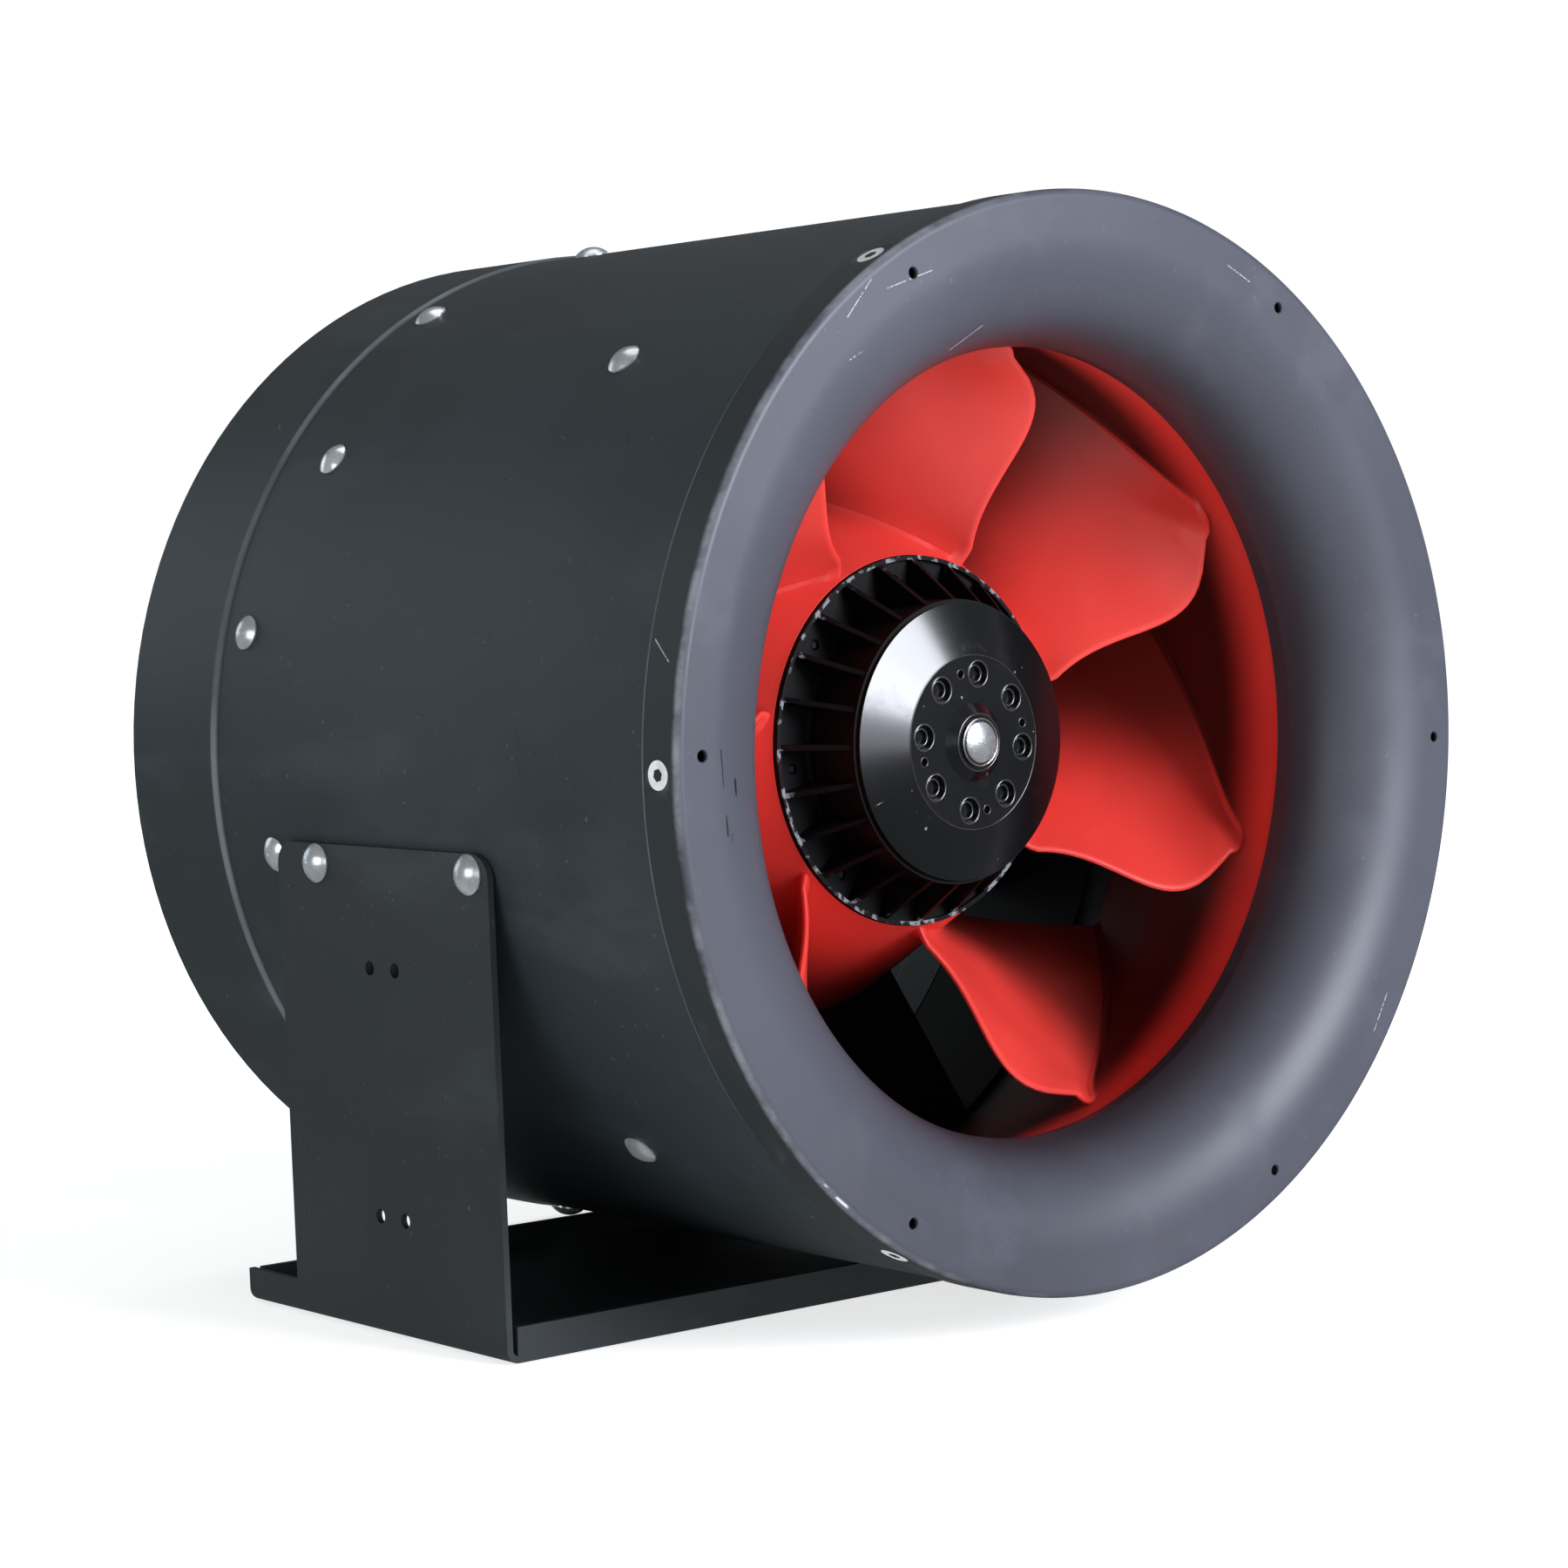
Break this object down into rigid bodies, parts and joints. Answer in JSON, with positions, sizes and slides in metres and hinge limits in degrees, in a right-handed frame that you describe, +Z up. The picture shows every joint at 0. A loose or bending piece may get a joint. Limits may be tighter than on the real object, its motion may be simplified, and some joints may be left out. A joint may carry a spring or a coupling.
{
  "type": "inline duct fan",
  "caption": "Mixed-flow fan in a round sheet-steel casing with a bellmouth inlet, straight outlet collar, external-rotor motor, guide vanes, terminal box and a bent steel foot.",
  "frame": {"origin": "centre of the four foot holes, on the foot's underside", "axes": "+Y along the fan axis from inlet to outlet, +Z up from the foot, +X to the terminal box side"},
  "size_m": [0.4574, 0.3405, 0.4122],
  "materials": {
    "casing_paint": "satin dark charcoal powder coat with light scuffs",
    "bellmouth_paint": "satin blue-grey coat inside, charcoal on the side band",
    "foot_paint": "satin black powder coat",
    "inner_paint": "satin black coat",
    "vane_paint": "satin charcoal coat",
    "tail_paint": "satin charcoal coat",
    "impeller_red": "moulded red plastic, satin gloss",
    "rotor_black": "gloss black enamel on steel",
    "ring_black": "black moulded plastic with glossy fins",
    "zinc": "bright zinc plate",
    "steel": "ground and polished steel",
    "brass_parts": "plain brass",
    "flange_cast": "die-cast aluminium",
    "cage_cast": "laminations with a cast aluminium cage",
    "laminations": "stacked electrical sheet",
    "copper_winding": "varnished copper wire",
    "box_plastic": "fine-textured black plastic",
    "seal_rubber": "soft black rubber",
    "gland_plastic": "moulded polyamide",
    "block_plastic": "off-white moulded plastic",
    "capacitor_case": "white plastic can",
    "lead_jacket": "black round sheath"
  },
  "bodies": {
    "casing": {"inlet_bellmouth": "bellmouth_paint", "bellmouth_screws": "zinc", "bellmouth_nuts": "zinc", "casing_tube": "casing_paint", "recirculation_baffle": "inner_paint", "baffle_rivets": "zinc", "guide_vanes": "vane_paint", "guide_vane_rivets": "zinc", "outlet_collar": "casing_paint", "collar_rivets": "zinc", "tail_cone": "tail_paint", "tail_cone_screws": "zinc", "motor_mount": "inner_paint", "motor_mount_screws": "zinc", "motor_flange": "flange_cast", "motor_flange_screws": "zinc", "stator_core": "laminations", "stator_winding": "copper_winding", "front_bearing_outer": "steel", "rear_bearing_outer": "steel", "preload_washer": "steel", "bearing_circlip": "steel", "mounting_foot": "foot_paint", "foot_screws": "zinc", "foot_nuts": "zinc", "terminal_box": "box_plastic", "terminal_box_screws": "zinc", "terminal_block": "block_plastic", "terminal_screws": "brass_parts", "run_capacitor": "capacitor_case", "capacitor_clip": "steel", "box_gasket": "seal_rubber", "box_lid": "box_plastic", "lid_screws": "zinc", "gland_body": "gland_plastic", "gland_seal": "seal_rubber", "gland_cap": "gland_plastic", "gland_locknut": "gland_plastic", "lead_conduit": "steel", "motor_lead": "lead_jacket"},
    "rotor": {"rotor_bell": "rotor_black", "rotor_cage": "cage_cast", "shaft": "steel", "shaft_circlip": "steel", "shaft_cap": "steel", "cooling_ring": "ring_black", "impeller": "impeller_red", "impeller_screws": "zinc", "front_bearing_inner": "steel", "rear_bearing_inner": "steel"},
    "front_ball_cage": {"front_bearing_cage": "brass_parts", "front_bearing_balls": "steel"},
    "rear_ball_cage": {"rear_bearing_cage": "brass_parts", "rear_bearing_balls": "steel"}
  },
  "joints": [
    {"name": "rotor_spin", "type": "hinge", "parent": "casing", "child": "rotor", "pos_m": [0, 0, 0.212], "axis": [0, 1, 0], "continuous": true},
    {"name": "front_cage_spin", "type": "hinge", "parent": "casing", "child": "front_ball_cage", "pos_m": [0, 0, 0.212], "axis": [0, 1, 0], "continuous": true},
    {"name": "rear_cage_spin", "type": "hinge", "parent": "casing", "child": "rear_ball_cage", "pos_m": [0, 0, 0.212], "axis": [0, 1, 0], "continuous": true}
  ],
  "couplings": [
    {"joint": "front_cage_spin", "follows": "rotor_spin", "ratio": 0.373},
    {"joint": "rear_cage_spin", "follows": "rotor_spin", "ratio": 0.373}
  ]
}
